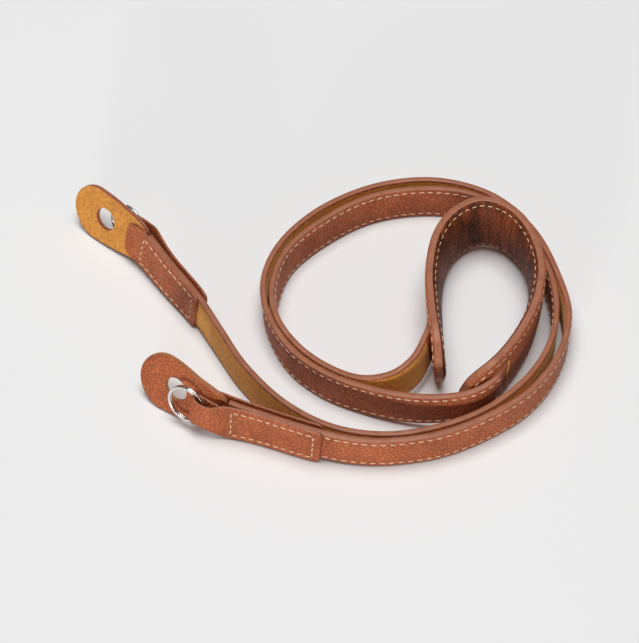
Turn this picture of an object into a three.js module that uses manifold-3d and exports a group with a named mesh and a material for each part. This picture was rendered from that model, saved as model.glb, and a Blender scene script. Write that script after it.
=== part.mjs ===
// Leather camera neck strap, lying coiled and standing on its long edges. mm, +Z up.
// Every strip follows a centre-line table; its section is set out in the strip's own frame:
// s along the route, d out of the grain side, v up across the width.
import * as THREE from "three";
import Module from "manifold-3d";

const wasm = await Module();
wasm.setup();

const STRAP_W = 15, // leg strap: width and total thickness
  STRAP_T = 2.2,
  LINING_W = 12.8, // suede strip let into the back of the strap
  LINING_T = 0.7,
  GAP = 0.15, // air left between leathers that lie against each other
  EDGE = 0.5, // rounding of a painted edge
  STEP = 5.2, // spacing of the sections along a leg
  PAD_W = 26.5, // neck pad: width, thickness at the rim and of each padded half
  PAD_RIM = 1.7,
  PAD_OUT = 2.2,
  PAD_IN = 3.2,
  SLIT_CLEAR = 0.3, // room round the strap in the pad's slit
  FLAP_T = 1.1, // end flaps
  DISC_R = 11, // protector: round end, hole and where the hole sits
  HOLE_R = 4.5,
  HOLE_BACK = 4.8,
  RING_R = 6.85, // split ring: mean radius, wire and coil pitch
  WIRE_W = 1.1,
  WIRE_T = 0.8,
  RING_PITCH = 0.9,
  RING_BACK = 11.6, // ring centre, measured back from the round end's centre
  RING_OFF = 3.95; // and off the middle of the protector

// Centre line of each leg from inside the pad to the tip of its protector:
// x, y, z and lean (degrees the top leans to the left of travel).
const LEG_A = [
  [68.7, -27.6, 13.5, 2], [65.1, -34.2, 13.5, 2], [61.3, -40.8, 13.5, 1],
  [54, -45.5, 12.8, 0], [44, -47, 11.5, -2], [32, -45.8, 10, -3],
  [18, -41.6, 8.5, -3], [2, -34.2, 7.7, -3], [-11, -22.3, 7.7, -1],
  [-19, -5, 7.7, 3], [-19.5, 12, 7.7, 4], [-11.8, 29, 7.7, 4],
  [3.5, 44, 7.7, 4], [24, 54, 7.7, 3], [46, 56, 7.7, 2],
  [66.3, 48, 7.7, 2], [80.2, 31, 7.7, 2], [87.8, 10.3, 7.7, 1],
  [90.5, -8, 7.7, 1], [85.5, -26, 7.7, 0], [74.5, -41.5, 7.7, 0],
  [59, -52.5, 7.7, 0], [42, -60, 7.7, 0], [24, -63, 7.8, 0],
  [10, -62.3, 8.2, -1], [-3, -59.3, 9, -2], [-19, -53.4, 9, -3],
  [-33, -48, 9.3, -6], [-43.5, -42.8, 10.1, -16], [-54, -35.4, 10.7, -24],
  [-63.5, -28.6, 10.7, -24],
];
const LEG_B = [
  [41.8, -8, 13.5, -6], [40.8, -15, 13.5, -7], [38.4, -22.5, 13.2, -8],
  [34, -31, 12.3, -8], [26, -37, 11, -6], [15, -37.3, 9, -3.5],
  [3.3, -31.7, 7.8, -3], [-7.5, -22.2, 7.7, -1], [-15.2, -9, 7.7, 2],
  [-16.8, 6, 7.7, 4], [-11.3, 23, 7.7, 4], [2.5, 37.3, 7.7, 4],
  [20, 48, 7.7, 4], [40, 51.8, 7.7, 4], [58, 49, 7.7, 3],
  [71.6, 38.6, 7.7, 2], [82, 20.8, 7.7, 1], [86.3, 2, 7.7, 0],
  [84, -17.5, 7.7, 0], [74.5, -35, 7.7, 0], [59.5, -48.7, 7.7, 0],
  [42, -56.8, 7.7, 0], [23, -60.2, 7.7, 0], [4, -57, 7.7, -2],
  [-13, -46.7, 7.7, -4], [-27, -31, 7.8, -5], [-36.5, -15, 8.3, -6],
  [-45, -0.5, 9.1, -7], [-55.5, 13.5, 9.9, -9], [-65.5, 27, 11.2, -12],
  [-74.5, 35.2, 11.5, -17], [-83.3, 42.8, 11.2, -19], [-92, 50.5, 11, -19],
];
// Centre line of the neck pad from its left tip round the bend to its right tip.
const PAD = [
  [42.8, -34, 13.5, 3], [42.3, -24, 13.5, 4], [41.5, -12, 13.5, 6],
  [41.5, 4, 13.8, 7], [44.3, 19.5, 14.5, 6], [50.5, 30, 15.3, 3],
  [60, 35, 16, 0], [70, 31.5, 16.2, -2], [77.2, 21, 16.2, -2],
  [80, 6, 15.4, 1], [77.2, -10, 14.3, 2], [70, -25, 13.6, 2],
  [60.5, -37.3, 13.5, 2], [50.5, -43, 13.5, 2],
];

// Half width of the protector at distances from the centre of its round end.
const PROTECTOR = [
  { s: -25.5, hw: 7.4 }, { s: -24.6, hw: 8 }, { s: -23.2, hw: 8.7 }, { s: -21, hw: 9.3 },
  { s: -19, hw: 9.6 }, { s: -17, hw: 9.8 }, { s: -15, hw: 10 }, { s: -13, hw: 10.2 },
  { s: -11, hw: 10.4 }, { s: -9, hw: 10.6 }, { s: -5, hw: 10.9 },
];
// Front flap: runs from its free end over the strap, round the ring and back under itself.
const FRONT_FLAP = [
  { s: -61.5, d: 1.9, hw: 6.6 }, { s: -61.1, d: 1.9, hw: 7.9 }, { s: -60.2, d: 1.9, hw: 8.55 },
  { s: -58.8, d: 1.9, hw: 8.75 }, { s: -54, d: 1.9, hw: 8.75 }, { s: -49, d: 1.9, hw: 8.75 },
  { s: -44, d: 1.9, hw: 8.75 }, { s: -39, d: 1.95, hw: 8.75 }, { s: -34.5, d: 2.1, hw: 8.75 },
  { s: -31, d: 2.5, hw: 8.75 }, { s: -28, d: 3.0, hw: 8.75 }, { s: -25.5, d: 3.6, hw: 8.5 },
  { s: -23.5, d: 4.3, hw: 7.6 }, { s: -21.5, d: 5.1, hw: 6.2 }, { s: -19.5, d: 5.7, hw: 5.4 },
  { s: -17, d: 5.9, hw: 5.2 }, { s: -15.2, d: 5.65, hw: 5.2 }, { s: -14.1, d: 5, hw: 5.3 },
  { s: -13.7, d: 4.1, hw: 5.3 }, { s: -13.9, d: 3.1, hw: 5.3 }, { s: -14.6, d: 2.3, hw: 5.3 },
  { s: -16, d: 1.95, hw: 5.2 }, { s: -18.5, d: 1.9, hw: 5.2 }, { s: -21, d: 1.9, hw: 5.2 },
  { s: -23.5, d: 1.9, hw: 5.2 },
];
const BACK_FLAP = [
  { s: -61, d: -1.8, hw: 6.6 }, { s: -60.6, d: -1.8, hw: 7.9 }, { s: -59.7, d: -1.8, hw: 8.55 },
  { s: -58.3, d: -1.8, hw: 8.75 }, { s: -53.5, d: -1.8, hw: 8.75 }, { s: -48.5, d: -1.8, hw: 8.75 },
  { s: -43.5, d: -1.8, hw: 8.75 }, { s: -38.5, d: -1.8, hw: 8.75 }, { s: -33.5, d: -1.8, hw: 8.75 },
  { s: -29, d: -1.8, hw: 8.75 }, { s: -25, d: -1.8, hw: 8.7 }, { s: -21.5, d: -1.8, hw: 8.2 },
  { s: -18.7, d: -1.8, hw: 7.4 }, { s: -17.3, d: -1.8, hw: 6.3 }, { s: -16.6, d: -1.8, hw: 4.9 },
];

// A smooth line through the rows of a table, with the arc length and frame at any s.
function route(rows) {
  const PER = 16,
    n = rows.length,
    ends = (i) =>
      i < 0 ? rows[0].map((a, k) => 2 * a - rows[1][k])
      : i >= n ? rows[n - 1].map((a, k) => 2 * a - rows[n - 2][k])
      : rows[i];
  const pts = [];
  for (let i = 0; i < n - 1; i++)
    for (let j = i ? 1 : 0; j <= PER; j++) {
      const t = j / PER,
        [a, b, c, d] = [ends(i - 1), ends(i), ends(i + 1), ends(i + 2)];
      pts.push(b.map((_, k) => 0.5 * (2 * b[k] + (c[k] - a[k]) * t
        + (2 * a[k] - 5 * b[k] + 4 * c[k] - d[k]) * t * t
        + (3 * b[k] - a[k] - 3 * c[k] + d[k]) * t * t * t)));
    }
  const at = pts.map((p) => new THREE.Vector3(p[0], p[1], p[2])),
    arc = [0];
  for (let i = 1; i < at.length; i++) arc.push(arc[i - 1] + at[i].distanceTo(at[i - 1]));
  const frames = at.map((p, i) => {
    const t = at[Math.min(i + 1, at.length - 1)].clone().sub(at[Math.max(i - 1, 0)]).normalize(),
      left = new THREE.Vector3(-t.y, t.x, 0).normalize(),
      up = t.clone().cross(left),
      lean = THREE.MathUtils.degToRad(pts[i][3]);
    return {
      t,
      w: up.clone().multiplyScalar(Math.cos(lean)).addScaledVector(left, Math.sin(lean)),
      m: left.clone().multiplyScalar(Math.cos(lean)).addScaledVector(up, -Math.sin(lean)),
    };
  });
  // Position and frame at s; past either end the line runs straight on.
  return {
    length: arc[arc.length - 1],
    frame(s) {
      const q = Math.min(Math.max(s, 0), arc[arc.length - 1]);
      let i = 1;
      while (i < arc.length - 1 && arc[i] < q) i++;
      const f = (q - arc[i - 1]) / (arc[i] - arc[i - 1]),
        mix = (a, b) => a.clone().lerp(b, f),
        p = mix(at[i - 1], at[i]),
        [t, m, w] = ["t", "m", "w"].map((k) => mix(frames[i - 1][k], frames[i][k]).normalize());
      return { p: p.addScaledVector(t, s - q), t, m, w };
    },
  };
}

// A closed strip lofted through sections. Each row is { s, d, hw, k }: where the section stands
// and how wide it is; section(row) lists its outline as [across the thickness, across the width].
// side is 1 when the grain faces the left of travel and -1 when it faces the right.
function strip(line, rows, section, side = 1) {
  const rings = rows.map((row, i) => {
    const a = rows[Math.max(i - 1, 0)],
      b = rows[Math.min(i + 1, rows.length - 1)],
      run = new THREE.Vector2(b.s - a.s, (b.d ?? 0) - (a.d ?? 0)).normalize(),
      f = line.frame(row.s);
    return section(row).map(([x, v]) => f.p.clone()
      .addScaledVector(f.m, side * ((row.d ?? 0) + x * run.x))
      .addScaledVector(f.t, -x * run.y)
      .addScaledVector(f.w, v));
  });
  const n = rings[0].length,
    index = [],
    add = (a, b, c) => index.push(...(side > 0 ? [a, b, c] : [a, c, b]));
  for (let r = 0; r < rings.length - 1; r++)
    for (let k = 0; k < n; k++) {
      const a = r * n + k, b = r * n + ((k + 1) % n);
      add(a, b, b + n);
      add(a, b + n, a + n);
    }
  const cap = (r, turn) => {
    const flat = section(rows[r]).map(([x, v]) => new THREE.Vector2(x, v));
    for (const [a, b, c] of THREE.ShapeUtils.triangulateShape(flat, []))
      turn ? add(r * n + a, r * n + c, r * n + b) : add(r * n + a, r * n + b, r * n + c);
  };
  cap(0, true);
  cap(rings.length - 1, false);
  const g = new THREE.BufferGeometry();
  g.setAttribute("position", new THREE.Float32BufferAttribute(rings.flat().flatMap((p) => p.toArray()), 3));
  g.setIndex(index);
  return g;
}

const solid = (g) => new wasm.Manifold(new wasm.Mesh({
  numProp: 3,
  vertProperties: new Float32Array(g.attributes.position.array),
  triVerts: new Uint32Array(g.index.array),
}));
const fromSolid = (s) => {
  const m = s.getMesh(), g = new THREE.BufferGeometry();
  g.setAttribute("position", new THREE.BufferAttribute(new Float32Array(m.vertProperties), 3));
  g.setIndex(new THREE.BufferAttribute(new Uint32Array(m.triVerts), 1));
  return g;
};

const group = new THREE.Group();
function piece(name, geometry, color) {
  const mesh = new THREE.Mesh(geometry, new THREE.MeshStandardMaterial({ color, roughness: 0.7 }));
  mesh.name = name;
  geometry.computeVertexNormals();
  group.add(mesh);
}
const LEATHER = 0x8f4526, SUEDE = 0xb3762a, STEEL = 0xc8c8c4;

// A plain strip section: thickness t, half width hw, its long edges rounded by e.
const plain = (t, e) => ({ hw }) => [
  [-t / 2, -hw + e], [-t / 2 + e, -hw], [t / 2 - e, -hw], [t / 2, -hw + e],
  [t / 2, hw - e], [t / 2 - e, hw], [-t / 2 + e, hw], [-t / 2, hw - e],
];
// The strap's section: rounded edges and a shallow recess in the back for the lining.
const strapSection = () => {
  const h = STRAP_T / 2, w = STRAP_W / 2, r = LINING_W / 2 + GAP, deep = -h + LINING_T + 2 * GAP;
  return [[-h, -w + EDGE], [-h + EDGE, -w], [h - EDGE, -w], [h, -w + EDGE], [h, w - EDGE],
    [h - EDGE, w], [-h + EDGE, w], [-h, w - EDGE], [-h, r], [deep, r], [deep, -r], [-h, -r]];
};
const liningSection = () => {
  const a = -STRAP_T / 2 + GAP / 2, b = a + LINING_T, r = LINING_W / 2;
  return [[a, -r], [b, -r], [b, r], [a, r]];
};
const evenly = (from, to, step) => {
  const n = Math.ceil((to - from) / step);
  return Array.from({ length: n + 1 }, (_, i) => ({ s: from + ((to - from) * i) / n }));
};

// Neck pad: two padded halves meeting at the rim, tongue-shaped at both ends.
const padLine = route(PAD),
  R = PAD_W / 2,
  padLength = padLine.length;
const padRow = (s) => {
  const x = Math.min(s, padLength - s), // distance from the nearer tip
    round = x < R ? Math.sqrt(Math.max(0, 1 - ((R - x) / R) ** 2)) : 1;
  return { s, hw: Math.max(R * round, 2.2), k: x < 26 ? 0.45 + 0.55 * (x / 26) : 1 };
};
const padRows = [0, 0.5, 1.6, 3.2, 5.4, 8.2, 11.5].map(padRow)
  .concat(evenly(15.5, padLength - 15.5, 4).map(({ s }) => padRow(s)))
  .concat([11.5, 8.2, 5.4, 3.2, 1.6, 0.5, 0].map((x) => padRow(padLength - x)));
// Half of the pad's section, from the joint plane out to the padded face.
const padHalf = (from, face, dir) => ({ hw, k }) => {
  const rim = from + (PAD_RIM - from) * Math.min(1, 0.75 + k / 4),
    top = rim + (face - PAD_RIM) * k,
    out = [[from, -hw], [rim - 0.7, -hw], [rim, -hw + 0.7], [(rim + top) / 2 + 0.1, -hw * 0.72],
      [top, -hw * 0.35], [top, hw * 0.35], [(rim + top) / 2 + 0.1, hw * 0.72], [rim, hw - 0.7],
      [rim - 0.7, hw], [from, hw]];
  return dir > 0 ? out : out.map(([x, v]) => [-x, v]).reverse();
};
let padInner = solid(strip(padLine, padRows, padHalf(GAP, PAD_IN, -1))),
  padOuter = solid(strip(padLine, padRows, padHalf(GAP, PAD_OUT, 1)));

for (const [leg, table, side] of [["a", LEG_A, 1], ["b", LEG_B, -1]]) {
  const line = route(table),
    c = line.length - DISC_R, // centre of the protector's round end
    shift = (rows) => rows.map((row) => ({ ...row, s: c + row.s }));

  // Strap and its lining, from inside the pad to under the flaps.
  const rows = evenly(0, c - 26.2, STEP);
  piece("leg_" + leg + "_leather", strip(line, rows, strapSection, side), LEATHER);
  piece("leg_" + leg + "_lining",
    strip(line, rows.slice(3, -1), liningSection, side), SUEDE);
  // The slit it enters the pad by.
  const slit = solid(strip(line, evenly(-SLIT_CLEAR, 26, STEP).map((r) => (
    { ...r, hw: STRAP_W / 2 + SLIT_CLEAR })), plain(STRAP_T + 2 * SLIT_CLEAR, 0.2)));
  padOuter = padOuter.subtract(slit);
  padInner = padInner.subtract(slit);

  piece("end_" + leg + "_front_flap", strip(line, shift(FRONT_FLAP), plain(FLAP_T, 0.3), side), LEATHER);
  piece("end_" + leg + "_back_flap", strip(line, shift(BACK_FLAP), plain(FLAP_T, 0.3), side), LEATHER);

  // Protector: teardrop of leather over suede, with the hole for the camera's lug.
  const drop = shift(PROTECTOR.concat(Array.from({ length: 10 }, (_, i) => {
    const a = (i / 9) * 1.42;
    return { s: DISC_R * Math.sin(a), hw: DISC_R * Math.cos(a) };
  })));
  const f = line.frame(c - HOLE_BACK),
    drill = wasm.Manifold.cylinder(8, HOLE_R, HOLE_R, 24, true).transform(
    new THREE.Matrix4().makeBasis(f.t, f.w, f.m.clone()).setPosition(f.p).elements);
  for (const [name, d, t, color] of [
    ["leather", 0.6, 1.0, LEATHER], ["lining", -0.6, 0.9, SUEDE]])
    piece("protector_" + leg + "_" + name,
      fromSolid(solid(strip(line, drop.map((r) => ({ ...r, d })), plain(t, 0.25), side)).subtract(drill)), color);

  // Split ring: two turns of flat wire side by side, threaded by the front flap.
  const g = line.frame(c - RING_BACK),
    TURN = 26,
    turns = 1.92,
    wire = Array.from({ length: Math.round(TURN * turns) + 1 }, (_, i) => {
      const a = (i / TURN) * 2 * Math.PI + 2.4,
        z = RING_PITCH * (i / TURN - turns / 2),
        along = new THREE.Vector3(Math.cos(a), Math.sin(a), 0);
      return [[-WIRE_W / 2, -WIRE_T / 2], [WIRE_W / 2, -WIRE_T / 2], [WIRE_W / 2, WIRE_T / 2],
        [-WIRE_W / 2, WIRE_T / 2]].map(([x, h]) => along.clone().multiplyScalar(RING_R + x)
        .add(new THREE.Vector3(0, 0, z + h)));
    }),
    index = [];
  for (let r = 0; r < wire.length - 1; r++)
    for (let k = 0; k < 4; k++) {
      const a = r * 4 + k, b = r * 4 + ((k + 1) % 4);
      index.push(a, b, b + 4, a, b + 4, a + 4);
    }
  const e = (wire.length - 1) * 4;
  index.push(0, 2, 1, 0, 3, 2, e, e + 1, e + 2, e, e + 2, e + 3);
  const ring = new THREE.BufferGeometry();
  ring.setAttribute("position", new THREE.Float32BufferAttribute(wire.flat().flatMap((p) => p.toArray()), 3));
  ring.setIndex(index);
  const out = g.m.clone().multiplyScalar(side);
  ring.applyMatrix4(new THREE.Matrix4().makeBasis(g.t.clone().multiplyScalar(side), g.w, out)
    .setPosition(g.p.clone().addScaledVector(out, RING_OFF)));
  piece("split_ring_" + leg, ring, STEEL);
}
piece("pad_outer", fromSolid(padOuter), LEATHER);
piece("pad_inner", fromSolid(padInner), LEATHER);

// The frame's origin: middle of the base of the whole coil.
group.position.set(0.56, 3.22, -0.1);

export default group;
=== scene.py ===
from math import atan2, cos, exp, pi, radians, sin, sqrt
import bmesh
import bpy
from mathutils import Matrix, Vector


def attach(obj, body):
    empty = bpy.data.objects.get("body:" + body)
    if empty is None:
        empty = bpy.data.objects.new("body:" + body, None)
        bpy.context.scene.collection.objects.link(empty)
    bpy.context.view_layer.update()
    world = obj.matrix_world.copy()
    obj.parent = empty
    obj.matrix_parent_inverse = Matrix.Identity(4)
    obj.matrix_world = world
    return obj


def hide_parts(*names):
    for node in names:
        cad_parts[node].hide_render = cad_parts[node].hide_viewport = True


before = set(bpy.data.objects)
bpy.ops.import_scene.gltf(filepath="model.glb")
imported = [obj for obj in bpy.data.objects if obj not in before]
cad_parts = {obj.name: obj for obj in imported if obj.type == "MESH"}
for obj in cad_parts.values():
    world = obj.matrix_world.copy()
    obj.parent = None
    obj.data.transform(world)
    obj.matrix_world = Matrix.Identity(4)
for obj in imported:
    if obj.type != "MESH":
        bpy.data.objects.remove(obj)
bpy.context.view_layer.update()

bpy.ops.object.select_all(action="DESELECT")
MM = 0.001

# ---- How the strap lies ------------------------------------------------------------------
# The strap lies coiled, standing on its long edges. The two legs and the neck pad each follow a
# line: x, y, z in millimetres and how far its top leans to the left of travel, in degrees.
LEG_A = (
    (68.7, -27.6, 13.5, 2), (65.1, -34.2, 13.5, 2), (61.3, -40.8, 13.5, 1),
    (54, -45.5, 12.8, 0), (44, -47, 11.5, -2), (32, -45.8, 10, -3),
    (18, -41.6, 8.5, -3), (2, -34.2, 7.7, -3), (-11, -22.3, 7.7, -1),
    (-19, -5, 7.7, 3), (-19.5, 12, 7.7, 4), (-11.8, 29, 7.7, 4),
    (3.5, 44, 7.7, 4), (24, 54, 7.7, 3), (46, 56, 7.7, 2),
    (66.3, 48, 7.7, 2), (80.2, 31, 7.7, 2), (87.8, 10.3, 7.7, 1),
    (90.5, -8, 7.7, 1), (85.5, -26, 7.7, 0), (74.5, -41.5, 7.7, 0),
    (59, -52.5, 7.7, 0), (42, -60, 7.7, 0), (24, -63, 7.8, 0),
    (10, -62.3, 8.2, -1), (-3, -59.3, 9, -2), (-19, -53.4, 9, -3),
    (-33, -48, 9.3, -6), (-43.5, -42.8, 10.1, -16), (-54, -35.4, 10.7, -24),
    (-63.5, -28.6, 10.7, -24),
)
LEG_B = (
    (41.8, -8, 13.5, -6), (40.8, -15, 13.5, -7), (38.4, -22.5, 13.2, -8),
    (34, -31, 12.3, -8), (26, -37, 11, -6), (15, -37.3, 9, -3.5),
    (3.3, -31.7, 7.8, -3), (-7.5, -22.2, 7.7, -1), (-15.2, -9, 7.7, 2),
    (-16.8, 6, 7.7, 4), (-11.3, 23, 7.7, 4), (2.5, 37.3, 7.7, 4),
    (20, 48, 7.7, 4), (40, 51.8, 7.7, 4), (58, 49, 7.7, 3),
    (71.6, 38.6, 7.7, 2), (82, 20.8, 7.7, 1), (86.3, 2, 7.7, 0),
    (84, -17.5, 7.7, 0), (74.5, -35, 7.7, 0), (59.5, -48.7, 7.7, 0),
    (42, -56.8, 7.7, 0), (23, -60.2, 7.7, 0), (4, -57, 7.7, -2),
    (-13, -46.7, 7.7, -4), (-27, -31, 7.8, -5), (-36.5, -15, 8.3, -6),
    (-45, -0.5, 9.1, -7), (-55.5, 13.5, 9.9, -9), (-65.5, 27, 11.2, -12),
    (-74.5, 35.2, 11.5, -17), (-83.3, 42.8, 11.2, -19), (-92, 50.5, 11, -19),
)
NECK_PAD = (
    (42.8, -34, 13.5, 3), (42.3, -24, 13.5, 4), (41.5, -12, 13.5, 6),
    (41.5, 4, 13.8, 7), (44.3, 19.5, 14.5, 6), (50.5, 30, 15.3, 3),
    (60, 35, 16, 0), (70, 31.5, 16.2, -2), (77.2, 21, 16.2, -2),
    (80, 6, 15.4, 1), (77.2, -10, 14.3, 2), (70, -25, 13.6, 2),
    (60.5, -37.3, 13.5, 2), (50.5, -43, 13.5, 2),
)
MIDDLE = Vector((0.56, 3.22, -0.1))


def through(rows):
    """Points of a smooth line through the rows, sixteen to a span."""
    def row(i):
        if i < 0:
            return [2 * a - b for a, b in zip(rows[0], rows[1])]
        if i >= len(rows):
            return [2 * a - b for a, b in zip(rows[-1], rows[-2])]
        return rows[i]

    points = []
    for i in range(len(rows) - 1):
        four = list(zip(row(i - 1), row(i), row(i + 1), row(i + 2)))
        for j in range(16):
            t = j / 16
            points.append([0.5 * (2 * b + (c - a) * t + (2 * a - 5 * b + 4 * c - d) * t * t
                                  + (3 * b - a - 3 * c + d) * t ** 3) for a, b, c, d in four])
    return points + [list(rows[-1])]


def lay(name, rows):
    """The line as a curve for flat pieces to be bent along, and its length."""
    points = through(rows)
    curve = bpy.data.curves.new(name, "CURVE")
    curve.dimensions, curve.twist_mode = "3D", "Z_UP"
    spline = curve.splines.new("POLY")
    spline.points.add(len(points) - 1)
    for point, (x, y, z, lean) in zip(spline.points, points):
        point.co = (*((Vector((x, y, z)) + MIDDLE) * MM), 1)
        point.tilt = -radians(lean)
    line = bpy.data.objects.new(name, curve)
    bpy.context.scene.collection.objects.link(line)
    places = [Vector(p[:3]) for p in points]
    return line, sum((b - a).length for a, b in zip(places, places[1:])) * MM


def bend(piece, line):
    """Bends a piece modelled flat, its length along X and its width along Z, to the line."""
    finish(piece, "CURVE", object=line, deform_axis="POS_X")
    bpy.ops.object.shade_smooth_by_angle(angle=radians(50))


def finish(piece, kind, **settings):
    """Adds a modifier to the piece and applies it."""
    bpy.ops.object.select_all(action="DESELECT")
    piece.select_set(True)
    bpy.context.view_layer.objects.active = piece
    modifier = piece.modifiers.new(kind.title(), kind)
    for key, value in settings.items():
        setattr(modifier, key, value)
    bpy.ops.object.modifier_apply(modifier=modifier.name)


def pick(piece, kind, wanted):
    """Selects the faces or edges of the piece being edited whose middle is wanted."""
    bpy.ops.mesh.select_mode(type={"faces": "FACE", "edges": "EDGE"}[kind])
    bpy.ops.mesh.select_all(action="DESELECT")
    mesh = bmesh.from_edit_mesh(piece.data)
    for part in getattr(mesh, kind):
        middle = sum((v.co for v in part.verts), Vector()) / len(part.verts)
        part.select_set(bool(wanted(middle, part)))
    bmesh.update_edit_mesh(piece.data)


def dress(piece, slot, nodes, *materials):
    """Names the piece's materials, its body and the solids that it stands for."""
    piece.data.materials.clear()
    for material in materials:
        piece.data.materials.append(material)
    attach(piece, "root")
    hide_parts(*nodes)


line_a, length_a = lay("line_a", LEG_A)
line_b, length_b = lay("line_b", LEG_B)
line_pad, length_pad = lay("line_pad", NECK_PAD)
LEGS = (("a", line_a, length_a, LEG_A, 1), ("b", line_b, length_b, LEG_B, -1))


# ---- Leather, paint, suede and thread ----------------------------------------------------
# Pebbled brown cowhide, its cut edges painted a lighter brown; ochre suede on the backs; and a
# cream waxed thread. All take their grain from where they are on the object.
def shader(name, colour, roughness, **sockets):
    """A new material's node tree, its surface node and its place in the object."""
    material = bpy.data.materials.new(name)
    material.use_nodes = True
    tree = material.node_tree
    surface = tree.nodes["Principled BSDF"]
    surface.inputs["Base Color"].default_value = (*colour, 1)
    surface.inputs["Roughness"].default_value = roughness
    for socket, value in sockets.items():
        surface.inputs[socket.replace("_", " ")].default_value = value
    place = tree.nodes.new("ShaderNodeTexCoord").outputs["Object"]
    return material, tree, surface, place


def noise(tree, place, scale, detail=3, rough=0.55, stretch=None):
    if stretch:
        mapping = tree.nodes.new("ShaderNodeMapping")
        mapping.inputs["Scale"].default_value = stretch
        tree.links.new(place, mapping.inputs["Vector"])
        place = mapping.outputs["Vector"]
    node = tree.nodes.new("ShaderNodeTexNoise")
    node.inputs["Scale"].default_value = scale
    node.inputs["Detail"].default_value = detail
    node.inputs["Roughness"].default_value = rough
    tree.links.new(place, node.inputs["Vector"])
    return node.outputs["Fac"]


def ramp(tree, value, *stops):
    """Colours by value: each stop is where it stands and its colour."""
    node = tree.nodes.new("ShaderNodeValToRGB")
    elements = node.color_ramp.elements
    while len(elements) < len(stops):
        elements.new(0.5)
    for element, (at, colour) in zip(elements, stops):
        element.position = at
        element.color = (*colour, 1)
    tree.links.new(value, node.inputs["Fac"])
    return node.outputs["Color"]


def multiply(tree, a, b, amount=1.0):
    node = tree.nodes.new("ShaderNodeMix")
    node.data_type, node.blend_type = "RGBA", "MULTIPLY"
    node.inputs["Factor"].default_value = amount
    tree.links.new(a, node.inputs["A"])
    tree.links.new(b, node.inputs["B"])
    return node.outputs["Result"]


def bump(tree, surface, *layers):
    """Stacks relief on the surface: each layer is a height, how strong and how deep."""
    last = None
    for height, strength, depth in layers:
        node = tree.nodes.new("ShaderNodeBump")
        node.inputs["Strength"].default_value = strength
        node.inputs["Distance"].default_value = depth
        tree.links.new(height, node.inputs["Height"])
        if last:
            tree.links.new(last, node.inputs["Normal"])
        last = node.outputs["Normal"]
    tree.links.new(last, surface.inputs["Normal"])


def grained(name, light, dark, pebble=1.7 * MM, crease_shade=0.0):
    """Cowhide with a pebbled grain; the last argument adds upright folds in the hide and darkens the colour in
    them by that much, as painted shade.
    """
    material, tree, surface, place = shader(
        name, light, 0.55, Specular_IOR_Level=0.24)
    drift = tree.nodes.new("ShaderNodeVectorMath")
    drift.operation = "MULTIPLY_ADD"
    wander = tree.nodes.new("ShaderNodeTexNoise")
    wander.inputs["Scale"].default_value = 0.7 / pebble
    tree.links.new(place, wander.inputs["Vector"])
    tree.links.new(wander.outputs["Color"], drift.inputs[0])
    drift.inputs[1].default_value = (pebble * 0.9,) * 3
    tree.links.new(place, drift.inputs[2])
    cells = tree.nodes.new("ShaderNodeTexVoronoi")
    cells.feature = "DISTANCE_TO_EDGE"
    cells.inputs["Scale"].default_value = 1 / pebble
    tree.links.new(drift.outputs["Vector"], cells.inputs["Vector"])
    pebbles = ramp(tree, cells.outputs["Distance"], (0.0, (0, 0, 0)), (0.16, (0.75,) * 3), (0.4, (1, 1, 1)))
    valleys = ramp(tree, cells.outputs["Distance"], (0.0, (0.72,) * 3), (0.16, (1, 1, 1)))
    patches = ramp(tree, noise(tree, place, 90, 4), (0.32, dark), (0.68, light))
    colour = multiply(tree, patches, valleys)
    fine = noise(tree, place, 2600, 2)
    layers = [(pebbles, 0.75, 0.5 * MM), (fine, 0.3, 0.08 * MM)]
    if crease_shade:
        folds = noise(tree, place, 300, 3, 0.6, (1, 1, 0.12))
        # Painted shade: the colour is darkened down in the folds.
        colour = multiply(tree, colour, ramp(tree, folds, (0.38, (0.28,) * 3), (0.55, (1, 1, 1))), crease_shade)
        layers.insert(0, (folds, 0.6, 0.6 * MM))
    tree.links.new(colour, surface.inputs["Base Color"])
    shine = ramp(tree, noise(tree, place, 400), (0.3, (0.48,) * 3), (0.7, (0.64,) * 3))
    tree.links.new(shine, surface.inputs["Roughness"])
    bump(tree, surface, *layers)
    return material


def painted(name, light, dark):
    """A cut edge, rubbed smooth and painted, with faint streaks along it."""
    material, tree, surface, place = shader(name, light, 0.45, Specular_IOR_Level=0.35)
    streaks = noise(tree, place, 260, 4, 0.6, (1, 1, 3))
    tree.links.new(ramp(tree, streaks, (0.3, dark), (0.62, light)), surface.inputs["Base Color"])
    bump(tree, surface, (noise(tree, place, 900, 3), 0.3, 0.12 * MM))
    return material


def napped(name, light, dark):
    """Suede: short fibres lying every way, mottled light and dark."""
    material, tree, surface, place = shader(
        name, light, 0.92, Specular_IOR_Level=0.15, Sheen_Weight=0.35, Sheen_Roughness=0.45,
        Sheen_Tint=(1.0, 0.8, 0.45, 1))
    mottle = ramp(tree, noise(tree, place, 850, 5, 0.7), (0.33, dark), (0.5, light),
                  (0.72, tuple(min(1, 1.35 * c) for c in light)))
    broad = ramp(tree, noise(tree, place, 120, 2), (0.3, (0.84,) * 3), (0.7, (1, 1, 1)))
    tree.links.new(multiply(tree, mottle, broad), surface.inputs["Base Color"])
    bump(tree, surface, (noise(tree, place, 2400, 4, 0.7), 0.6, 0.18 * MM))
    return material


def spun(name, light, dark):
    """Waxed thread, two plies twisted together."""
    material, tree, surface, place = shader(name, light, 0.62, Sheen_Weight=0.2)
    plies = tree.nodes.new("ShaderNodeTexWave")
    plies.inputs["Scale"].default_value = 900
    plies.inputs["Distortion"].default_value = 1.5
    tree.links.new(place, plies.inputs["Vector"])
    tree.links.new(ramp(tree, plies.outputs["Fac"], (0.2, dark), (0.7, light)), surface.inputs["Base Color"])
    bump(tree, surface, (plies.outputs["Fac"], 0.5, 0.08 * MM))
    return material


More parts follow.
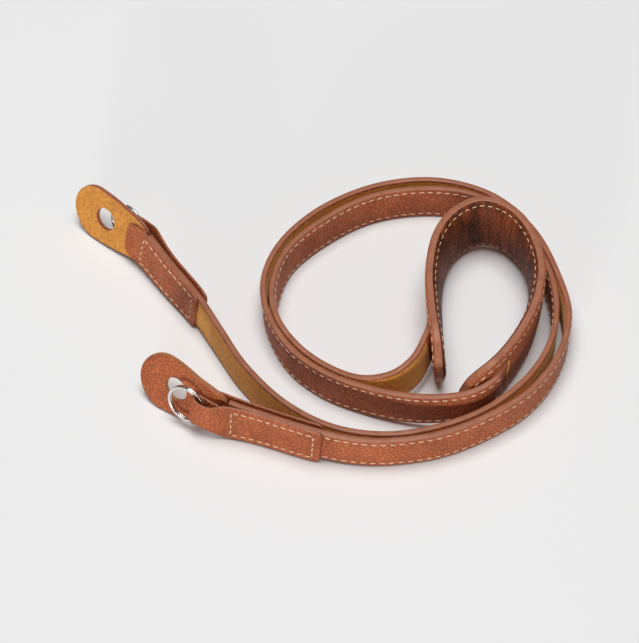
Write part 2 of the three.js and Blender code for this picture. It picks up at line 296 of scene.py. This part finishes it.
HIDE = grained("brown_leather", (0.54, 0.142, 0.05), (0.38, 0.092, 0.03))
# The same cowhide again, made much darker: a shaded copy, painted shade for the pad's inner face.
SHADED_HIDE = grained("pad_leather", (0.32, 0.074, 0.02), (0.2, 0.043, 0.012), crease_shade=0.85)
PAINT = painted("edge_paint", (0.38, 0.14, 0.075), (0.29, 0.1, 0.05))
SUEDE = napped("ochre_suede", (0.66, 0.27, 0.05), (0.45, 0.165, 0.028))
THREAD = spun("cream_thread", (0.9, 0.7, 0.5), (0.66, 0.42, 0.26))


# ---- The legs ----------------------------------------------------------------------------
# Each leg is one strip of doubled cowhide 15 mm wide with rounded, painted long edges, and a
# strip of suede glued down its back between the edges. It ends inside the pad and the flaps.
STRAP_W, STRAP_T, EDGE = 15 * MM, 2.2 * MM, 0.62 * MM
LINING_W, LINING_T = 12.8 * MM, 0.7 * MM
DISC_R = 11 * MM


def bar(name, start, end, near, far, width, edge, cuts=2):
    """A straight strip along X, built of short lengths joined end to end and capped."""
    count = round((end - start) / MM)
    short = (end - start) / count
    bpy.ops.object.select_all(action="DESELECT")
    bpy.ops.mesh.primitive_cube_add(size=1, location=(start + short / 2, (near + far) / 2, 0))
    piece = bpy.context.object
    piece.name = piece.data.name = name
    piece.scale = (short, abs(far - near), width)
    bpy.ops.object.transform_apply(location=True, scale=True)
    bpy.ops.object.mode_set(mode="EDIT")
    pick(piece, "faces", lambda m, f: abs(f.normal.x) > 0.9)
    bpy.ops.mesh.delete(type="ONLY_FACE")
    pick(piece, "edges", lambda m, e: abs(e.verts[0].co.x - e.verts[1].co.x) > short / 2)
    bpy.ops.mesh.bevel(offset=edge, segments=cuts + 1, profile=0.5)
    bpy.ops.object.mode_set(mode="OBJECT")
    finish(piece, "ARRAY", count=count, use_relative_offset=False, use_constant_offset=True,
           constant_offset_displace=(short, 0, 0), use_merge_vertices=True,
           merge_threshold=0.02 * MM)
    bpy.ops.object.mode_set(mode="EDIT")
    bpy.ops.mesh.select_all(action="SELECT")
    bpy.ops.mesh.fill_holes(sides=0)
    bpy.ops.mesh.normals_make_consistent(inside=False)
    bpy.ops.object.mode_set(mode="OBJECT")
    return piece


def paint_edges(piece, wanted):
    """Gives the faces that are wanted the second material."""
    for face in piece.data.polygons:
        face.material_index = int(wanted(face))


for leg, line, length, rows, side in LEGS:
    lug = length - DISC_R
    strap = bar(f"leg_{leg}", 0, lug - 26.2 * MM, -STRAP_T / 2, STRAP_T / 2, STRAP_W, EDGE)
    dress(strap, "leather", [f"leg_{leg}_leather"], HIDE, PAINT)
    paint_edges(strap, lambda f: abs(f.center.z) > STRAP_W / 2 - EDGE)
    bend(strap, line)
    back = -side * (STRAP_T / 2 + 0.04 * MM)
    suede = bar(f"leg_{leg}_suede", 15.6 * MM, lug - 31.4 * MM, back, back + side * LINING_T,
                LINING_W, 0.2 * MM, cuts=1)
    dress(suede, "suede", [f"leg_{leg}_lining"], SUEDE)
    bend(suede, line)


# ---- The neck pad ------------------------------------------------------------------------
# Two faces of the same hide over a thin foam, pressed together at a painted rim 3.4 mm thick, with
# tongue-shaped ends. Its inner face is creased upright where it bends hardest, and is coloured with a much
# darker copy of the hide: painted shade for the inside of the coil.
PAD_HALF, RIM, PUFF_OUT, PUFF_IN = 13.25 * MM, 1.7 * MM, 2.2 * MM, 3.2 * MM
STITCH_LINE = 0.845


def pad_width(s):
    """Half the pad's width at s: straight sides and half-round ends."""
    x = min(s, length_pad - s)
    round_end = sqrt(max(0, 1 - ((PAD_HALF - x) / PAD_HALF) ** 2)) if x < PAD_HALF else 1
    return max(PAD_HALF * round_end, 2.2 * MM)


def pad_face(s, v, puff):
    """How far a face stands off the middle of the pad: crowned, and drawn in by the stitches."""
    tip = min(s, length_pad - s)
    full = (puff - RIM) * (0.4 + 0.6 * min(1, tip / (26 * MM)))
    crown = max(0, 1 - (abs(v) / 0.96) ** 2.4)
    drawn = 0.22 * MM * exp(-((abs(v) - STITCH_LINE) / 0.03) ** 2)
    turned = max(0, (abs(v) - 0.93) / 0.07)
    return RIM + full * crown - drawn - 0.55 * MM * turned ** 2


def creased(s, v):
    """Upright creases pressed into the inner face round the back of the bend."""
    bent = exp(-((s - 88 * MM) / (20 * MM)) ** 2)
    ripple = (sin(s / MM * 2.1) + 0.7 * sin(s / MM * 1.27 + 1 + 0.5 * v)
              + 0.5 * sin(s / MM * 3.3 + 2 - 0.8 * v))
    return 0.24 * MM * bent * ripple * (1 - abs(v) ** 3)


def pad_skin(name, way, puff, across=36):
    """One face of the pad: a grid drawn out to the tongue's outline and puffed up."""
    tip = [13 * MM * (i / 14) ** 2 for i in range(14)]
    steps = round((length_pad - 26 * MM) / (0.9 * MM))
    places = (tip + [13 * MM + (length_pad - 26 * MM) * i / steps for i in range(steps + 1)]
              + [length_pad - s for s in reversed(tip)])
    bpy.ops.mesh.primitive_grid_add(x_subdivisions=len(places) - 1, y_subdivisions=across, size=2,
                                    rotation=(pi / 2, 0, 0))
    skin = bpy.context.object
    skin.name = name
    bpy.ops.object.transform_apply(rotation=True)
    for vertex in skin.data.vertices:
        s = places[round((vertex.co.x + 1) / 2 * (len(places) - 1))]
        v = sin(vertex.co.z * pi / 2) * 0.35 + vertex.co.z * 0.65
        off = pad_face(s, v, puff) + (creased(s, v) if way < 0 else 0)
        vertex.co = (s, way * off, v * pad_width(s))
    return skin


bpy.ops.object.select_all(action="DESELECT")
outer = pad_skin("neck_pad", 1, PUFF_OUT)
inner = pad_skin("neck_pad_inner", -1, PUFF_IN)
outer.select_set(True)
bpy.context.view_layer.objects.active = outer
bpy.ops.object.join()
pad = outer
bpy.ops.object.mode_set(mode="EDIT")
bpy.ops.mesh.select_mode(type="EDGE")
bpy.ops.mesh.select_all(action="DESELECT")
bpy.ops.mesh.select_non_manifold()
bpy.ops.mesh.bridge_edge_loops(number_cuts=3)
bpy.ops.mesh.select_all(action="SELECT")
bpy.ops.mesh.normals_make_consistent(inside=False)
bpy.ops.object.mode_set(mode="OBJECT")
dress(pad, "pad_leather", ["pad_outer", "pad_inner"], HIDE, PAINT, SHADED_HIDE)
paint_edges(pad, lambda f: abs(f.center.y) < 1.35 * MM)
# The inner face takes the darker copy of the hide: painted shade, not a different leather.
for face in pad.data.polygons:
    if face.center.y < -1.35 * MM:
        face.material_index = 2
finish(pad, "SUBSURF", levels=1, render_levels=1)
bend(pad, line_pad)


# Each leg goes into the pad by an upright slit in its outer face, whose raw edge shows ochre.
for leg, place, low in (("a", 157.4 * MM, 1.2 * MM), ("b", 18.4 * MM, 1.2 * MM)):
    lip = bar(f"slit_{leg}_edge", place, place + 0.9 * MM, low, 2.42 * MM, 16 * MM, 0.2 * MM, cuts=1)
    dress(lip, "suede", ["pad_outer"], SUEDE)
    bend(lip, line_pad)


# ---- Saddle stitching --------------------------------------------------------------------
# Cream thread sewn through punched holes: a row along each edge of the legs' grain side, a ring
# round both faces of the pad, and a box on each flap. Each stitch dips into its hole.
def sew(name, places, line, slot, nodes, long=2.2 * MM, thick=0.46 * MM):
    """One stitch is shaped, copied to each place (x, y, z, slope) and bent to the line."""
    bpy.ops.object.select_all(action="DESELECT")
    bpy.ops.mesh.primitive_uv_sphere_add(segments=8, ring_count=7, radius=0.5,
                                         rotation=(0, pi / 2, 0))
    first = bpy.context.object
    bpy.ops.object.transform_apply(rotation=True)
    bpy.ops.object.mode_set(mode="EDIT")
    bpy.ops.mesh.select_all(action="SELECT")
    bpy.ops.transform.resize(value=(long, thick * 0.9, thick))
    bpy.ops.object.mode_set(mode="OBJECT")
    for vertex in first.data.vertices:
        vertex.co.y *= 1 - 0.35 * abs(vertex.co.x / long * 2) ** 4
    row = []
    for x, y, z, slope in places:
        copy = first.copy()
        copy.data = first.data.copy()
        copy.matrix_world = Matrix.Translation((x, y, z)) @ Matrix.Rotation(-slope, 4, "Y")
        bpy.context.scene.collection.objects.link(copy)
        row.append(copy)
    bpy.data.objects.remove(first)
    for copy in row:
        copy.select_set(True)
    bpy.context.view_layer.objects.active = row[0]
    bpy.ops.object.join()
    stitches = bpy.context.object
    stitches.name = stitches.data.name = name
    bpy.ops.object.transform_apply(location=True, rotation=True)
    dress(stitches, slot, nodes, THREAD)
    bend(stitches, line)
    return stitches


PITCH, SLANT = 3.3 * MM, radians(5)


def along(start, end, y, z, slant):
    """Places of stitches in a straight row along X."""
    count = round((end - start) / PITCH)
    return [(start + (i + 0.5) * (end - start) / count, y(start + (i + 0.5) * (end - start) / count), z, slant)
            for i in range(count)]


for leg, line, length, rows, side in LEGS:
    face = lambda x: side * (STRAP_T / 2 + 0.06 * MM)
    lug = length - DISC_R
    sew(f"leg_{leg}_stitches",
        along(12 * MM, lug - 55 * MM, face, 5.65 * MM, SLANT)
        + along(12 * MM, lug - 55 * MM, face, -5.65 * MM, -SLANT),
        line, "leather", [f"leg_{leg}_leather"])

ring_of_stitches = []
turn = PAD_HALF * STITCH_LINE
straight = length_pad - 2 * PAD_HALF
whole = 2 * straight + 2 * pi * turn
count = round(whole / PITCH)
for i in range(count):
    u = (i + 0.5) * whole / count
    if u < straight:
        x, z, slope = PAD_HALF + u, turn, 0
    elif u < straight + pi * turn:
        a = (u - straight) / turn
        x, z, slope = length_pad - PAD_HALF + turn * sin(a), turn * cos(a), -a
    elif u < 2 * straight + pi * turn:
        x, z, slope = length_pad - PAD_HALF - (u - straight - pi * turn), -turn, pi
    else:
        a = (u - 2 * straight - pi * turn) / turn
        x, z, slope = PAD_HALF - turn * sin(a), -turn * cos(a), pi - a
    ring_of_stitches.append((x, z, slope))
for way, puff, where in ((1, PUFF_OUT, "outer"), (-1, PUFF_IN, "inner")):
    spots = []
    for x, z, slope in ring_of_stitches:
        v = z / pad_width(x)
        spots.append((x, way * (pad_face(x, v, puff) + 0.1 * MM), z, slope))
    sew(f"pad_{where}_stitches", spots, line_pad, "pad_leather", [f"pad_{where}"])


# ---- The end flaps -----------------------------------------------------------------------
# Each end is closed by two flaps of thinner hide. The front one narrows to a waist, folds round
# the split ring and comes back under itself; the back one holds the protector. Rows give the
# place along the leg from the protector's centre, the height off the middle and half the width.
FLAP_T = 1.1 * MM
FRONT_FLAP = (
    (-61.5, 1.9, 6.6), (-61.1, 1.9, 7.9), (-60.2, 1.9, 8.55), (-58.8, 1.9, 8.75),
    (-54, 1.9, 8.75), (-49, 1.9, 8.75), (-44, 1.9, 8.75), (-39, 1.95, 8.75),
    (-34.5, 2.1, 8.75), (-31, 2.5, 8.75), (-28, 3.0, 8.75), (-25.5, 3.6, 8.5),
    (-23.5, 4.3, 7.6), (-21.5, 5.1, 6.2), (-19.5, 5.7, 5.4), (-17, 5.9, 5.2),
    (-15.2, 5.65, 5.2), (-14.1, 5, 5.3), (-13.7, 4.1, 5.3), (-13.9, 3.1, 5.3),
    (-14.6, 2.3, 5.3), (-16, 1.95, 5.2), (-18.5, 1.9, 5.2), (-21, 1.9, 5.2), (-23.5, 1.9, 5.2),
)
BACK_FLAP = (
    (-61, -1.8, 6.6), (-60.6, -1.8, 7.9), (-59.7, -1.8, 8.55), (-58.3, -1.8, 8.75),
    (-53.5, -1.8, 8.75), (-48.5, -1.8, 8.75), (-43.5, -1.8, 8.75), (-38.5, -1.8, 8.75),
    (-33.5, -1.8, 8.75), (-29, -1.8, 8.75), (-25, -1.8, 8.7), (-21.5, -1.8, 8.2),
    (-18.7, -1.8, 7.4), (-17.3, -1.8, 6.3), (-16.6, -1.8, 4.9),
)


def flap(name, rows, lug, side, line, node):
    """A grid drawn out row by row, thickened, softened and bent to the leg."""
    bpy.ops.object.select_all(action="DESELECT")
    bpy.ops.mesh.primitive_grid_add(x_subdivisions=len(rows) - 1, y_subdivisions=8, size=2,
                                    rotation=(pi / 2, 0, 0))
    piece = bpy.context.object
    piece.name = piece.data.name = name
    bpy.ops.object.transform_apply(rotation=True)
    for vertex in piece.data.vertices:
        s, d, half = rows[round((vertex.co.x + 1) / 2 * (len(rows) - 1))]
        vertex.co = (lug + s * MM, side * d * MM, vertex.co.z * half * MM)
    dress(piece, "leather", [node], HIDE, PAINT)
    finish(piece, "SOLIDIFY", thickness=FLAP_T, offset=0, material_offset_rim=1)
    finish(piece, "SUBSURF", levels=2, render_levels=2)
    bend(piece, line)
    return piece


def height(rows, x):
    """The flap's height off the middle at x, read between its rows."""
    for (s0, d0, _), (s1, d1, _) in zip(rows, rows[1:]):
        if s0 <= x <= s1:
            return d0 + (d1 - d0) * (x - s0) / (s1 - s0)


def box_of_stitches(rows, first, last, half, lug, side):
    """A row of stitches round a box, all standing on the flap's face."""
    out = 1 if rows[0][1] > 0 else -1

    def spot(x, z, slope):
        return (lug + x * MM, side * (height(rows, x) + out * 0.61) * MM, z * MM, slope)

    lengthwise, across = round((last - first) / 3.1), round(2 * half / 3.1)
    places = []
    for i in range(lengthwise):
        x = first + (i + 0.5) * (last - first) / lengthwise
        places += [spot(x, half, SLANT), spot(x, -half, -SLANT)]
    for i in range(across):
        z = -half + (i + 0.5) * 2 * half / across
        places += [spot(first, z, pi / 2 + SLANT), spot(last, z, pi / 2 + SLANT)]
    return places


for leg, line, length, rows, side in LEGS:
    lug = length - DISC_R
    flap(f"end_{leg}_front", FRONT_FLAP, lug, side, line, f"end_{leg}_front_flap")
    flap(f"end_{leg}_back", BACK_FLAP, lug, side, line, f"end_{leg}_back_flap")
    sew(f"end_{leg}_front_stitches", box_of_stitches(FRONT_FLAP, -58.6, -28.5, 6.2, lug, side),
        line, "leather", [f"end_{leg}_front_flap"])
    sew(f"end_{leg}_back_stitches", box_of_stitches(BACK_FLAP, -58.2, -26, 6.2, lug, side),
        line, "leather", [f"end_{leg}_back_flap"])


# ---- The lug protectors ------------------------------------------------------------------
# A teardrop of hide over a teardrop of suede, sewn in between the flaps. It keeps the ring off
# the camera, and the lug comes through its 9 mm hole. Rows give half the width towards the tail.
HOLE_R, HOLE_AT = 4.5, -4.8
TAIL = ((-25.5, 7.4), (-24.6, 8), (-23.2, 8.7), (-21, 9.3), (-19, 9.6), (-17, 9.8),
        (-15, 10), (-13, 10.2), (-11, 10.4), (-9, 10.6), (-5, 10.9), (0, 11))


def teardrop(angle):
    """Distance from the hole's centre to the protector's outline, in millimetres."""
    def inside(reach):
        s, z = HOLE_AT + reach * cos(angle), abs(reach * sin(angle))
        if s >= 0:
            return s * s + z * z <= 121
        for (s0, w0), (s1, w1) in zip(TAIL, TAIL[1:]):
            if s0 <= s <= s1:
                return z <= w0 + (w1 - w0) * (s - s0) / (s1 - s0)
        return False

    near, far = HOLE_R, 30.0
    for _ in range(30):
        middle = (near + far) / 2
        near, far = (middle, far) if inside(middle) else (near, middle)
    return near


def protector(name, node, slot, off, thick, lug, side, line, *materials):
    """The hole's rim is extruded outwards ring by ring to the outline, and thickened."""
    bpy.ops.object.select_all(action="DESELECT")
    bpy.ops.mesh.primitive_circle_add(vertices=72, radius=HOLE_R * MM, rotation=(pi / 2, 0, 0))
    piece = bpy.context.object
    piece.name = piece.data.name = name
    bpy.ops.object.transform_apply(rotation=True)
    angles = [2 * pi * i / 72 for i in range(72)]
    rim = [v.co.copy() for v in piece.data.vertices]
    bpy.ops.object.mode_set(mode="EDIT")
    bpy.ops.mesh.select_all(action="SELECT")
    for share in (0.06, 0.22, 0.42, 0.62, 0.82, 0.95, 1):
        bpy.ops.mesh.extrude_region_move(TRANSFORM_OT_translate={"value": (0, 0, 0)})
        mesh = bmesh.from_edit_mesh(piece.data)
        for vertex in mesh.verts:
            if vertex.select:
                angle = atan2(vertex.co.z, vertex.co.x)
                reach = HOLE_R + (teardrop(angle) - HOLE_R) * share
                vertex.co = (reach * cos(angle) * MM, 0, reach * sin(angle) * MM)
        bmesh.update_edit_mesh(piece.data)
    bpy.ops.object.mode_set(mode="OBJECT")
    for vertex in piece.data.vertices:
        vertex.co += Vector((lug + HOLE_AT * MM, side * off * MM, 0))
    dress(piece, slot, [node], *materials)
    finish(piece, "SOLIDIFY", thickness=thick * MM, offset=0, material_offset_rim=1)
    finish(piece, "SUBSURF", levels=1, render_levels=1)
    bend(piece, line)


for leg, line, length, rows, side in LEGS:
    lug = length - DISC_R
    protector(f"protector_{leg}_hide", f"protector_{leg}_leather", "leather", 0.58, 1.05,
              lug, side, line, HIDE, PAINT)
    protector(f"protector_{leg}_suede", f"protector_{leg}_lining", "suede", -0.52, 1.0,
              lug, side, line, SUEDE, PAINT)


# ---- The split rings ---------------------------------------------------------------------
# Nickel-plated steel strip wound nearly twice round, as a key ring is, and threaded through the
# front flap's fold. The wire's end shows as a step.
RING_R, WIRE_W, WIRE_T, WIRE_PITCH, TURNS = 6.85 * MM, 1.1 * MM, 0.8 * MM, 0.9 * MM, 1.92
RING_BACK, RING_OFF = 11.6 * MM, 3.95 * MM

steel, tree, surface, place = shader("nickel_plate", (0.78, 0.76, 0.73), 0.2, Metallic=1.0)
tree.links.new(ramp(tree, noise(tree, place, 500, 3), (0.3, (0.14,) * 3), (0.7, (0.3,) * 3)),
               surface.inputs["Roughness"])
bump(tree, surface, (noise(tree, place, 1500, 2), 0.15, 0.03 * MM))


def frame_at(rows, s):
    """Place and axes of the line at s: along it, across the width and out to the left."""
    points = [Vector(p[:3]) * MM for p in through(rows)]
    leans = [p[3] for p in through(rows)]
    gone = 0
    for i in range(1, len(points)):
        span = (points[i] - points[i - 1]).length
        if gone + span >= s:
            break
        gone += span
    share = (s - gone) / span
    ahead = (points[min(i + 1, len(points) - 1)] - points[i - 2]).normalized()
    left = Vector((-ahead.y, ahead.x, 0)).normalized()
    up = ahead.cross(left)
    lean = radians(leans[i - 1] + (leans[i] - leans[i - 1]) * share)
    place = points[i - 1].lerp(points[i], share) + MIDDLE * MM
    return (place, ahead, up * cos(lean) + left * sin(lean), left * cos(lean) - up * sin(lean))


for leg, line, length, rows, side in LEGS:
    bpy.ops.object.select_all(action="DESELECT")
    bpy.ops.mesh.primitive_plane_add(size=1, location=(RING_R, 0, 0), rotation=(pi / 2, 0, 0))
    ring = bpy.context.object
    ring.name = ring.data.name = f"key_ring_{leg}"
    ring.scale = (WIRE_W, WIRE_T, 1)
    bpy.ops.object.transform_apply(location=True, rotation=True, scale=True)
    bpy.ops.object.mode_set(mode="EDIT")
    bpy.ops.mesh.select_all(action="SELECT")
    bpy.ops.mesh.bevel(offset=0.26 * MM, segments=4, affect="VERTICES")
    bpy.ops.mesh.delete(type="ONLY_FACE")
    bpy.ops.object.mode_set(mode="OBJECT")
    finish(ring, "SCREW", angle=2 * pi * TURNS, screw_offset=WIRE_PITCH * TURNS, steps=150,
           render_steps=150, axis="Z", use_normal_calculate=True)
    bpy.ops.object.mode_set(mode="EDIT")
    bpy.ops.mesh.select_all(action="SELECT")
    bpy.ops.mesh.remove_doubles(threshold=0.001 * MM)
    bpy.ops.mesh.fill_holes(sides=0)
    bpy.ops.mesh.normals_make_consistent(inside=False)
    bpy.ops.object.mode_set(mode="OBJECT")
    place, ahead, across, out = frame_at(rows, length - DISC_R - RING_BACK)
    stand = Matrix((ahead * side, across, out * side)).transposed().to_4x4()
    stand.translation = place + out * side * RING_OFF
    ring.matrix_world = (stand @ Matrix.Translation((0, 0, -WIRE_PITCH * TURNS / 2))
                         @ Matrix.Rotation(2.4, 4, "Z"))
    bpy.ops.object.transform_apply(location=True, rotation=True, scale=True)
    bpy.ops.object.shade_smooth_by_angle(angle=radians(40))
    dress(ring, "ring_steel", [f"split_ring_{leg}"], steel)

for line in (line_a, line_b, line_pad):
    bpy.data.objects.remove(line)

# ---- Floor, light and camera -------------------------------------------------------------
# A wide pale sheet under soft daylight from above, seen from in front with a long lens.
floor_paint, tree, surface, place = shader("pale_paper", (0.83, 0.83, 0.83), 0.9, Specular_IOR_Level=0.1)
tree.links.new(ramp(tree, noise(tree, place, 4, 2), (0.2, (0.82,) * 3), (0.8, (0.84,) * 3)),
               surface.inputs["Base Color"])
bpy.ops.mesh.primitive_plane_add(size=6, location=(0, 0, 0))
floor = bpy.context.object
floor.name = "floor"
floor.data.materials.append(floor_paint)

world = bpy.data.worlds.new("daylight")
bpy.context.scene.world = world
world.use_nodes = True
world.node_tree.nodes["Background"].inputs["Color"].default_value = (1, 1, 1, 1)
world.node_tree.nodes["Background"].inputs["Strength"].default_value = 0.1


def window(name, place, aim, size, watts):
    """A large soft lamp at a place, turned to shine on aim."""
    lamp = bpy.data.lights.new(name, "AREA")
    lamp.size, lamp.energy = size, watts
    stand = bpy.data.objects.new(name, lamp)
    stand.location = place
    stand.rotation_euler = (Vector(aim) - Vector(place)).to_track_quat("-Z", "Y").to_euler()
    bpy.context.scene.collection.objects.link(stand)


window("overhead", (-0.05, 0.05, 2), (0, 0, 0), 1.2, 38)
window("low_front", (-0.35, -1.4, 0.1), (0, 0, 0), 0.3, 13)
bpy.context.scene.view_settings.view_transform = "Standard"

FAR, RISE = 830 * MM, radians(53)
target = MIDDLE * MM
camera = bpy.data.cameras.new("camera")
camera.sensor_width, camera.lens = 36, 125.47
camera.clip_start, camera.clip_end = 0.01, 20
eye = bpy.data.objects.new("camera", camera)
eye.location = target + Vector((0, -cos(RISE), sin(RISE))) * FAR
eye.rotation_euler = (pi / 2 - RISE, 0, 0)
bpy.context.scene.collection.objects.link(eye)
bpy.context.scene.camera = eye
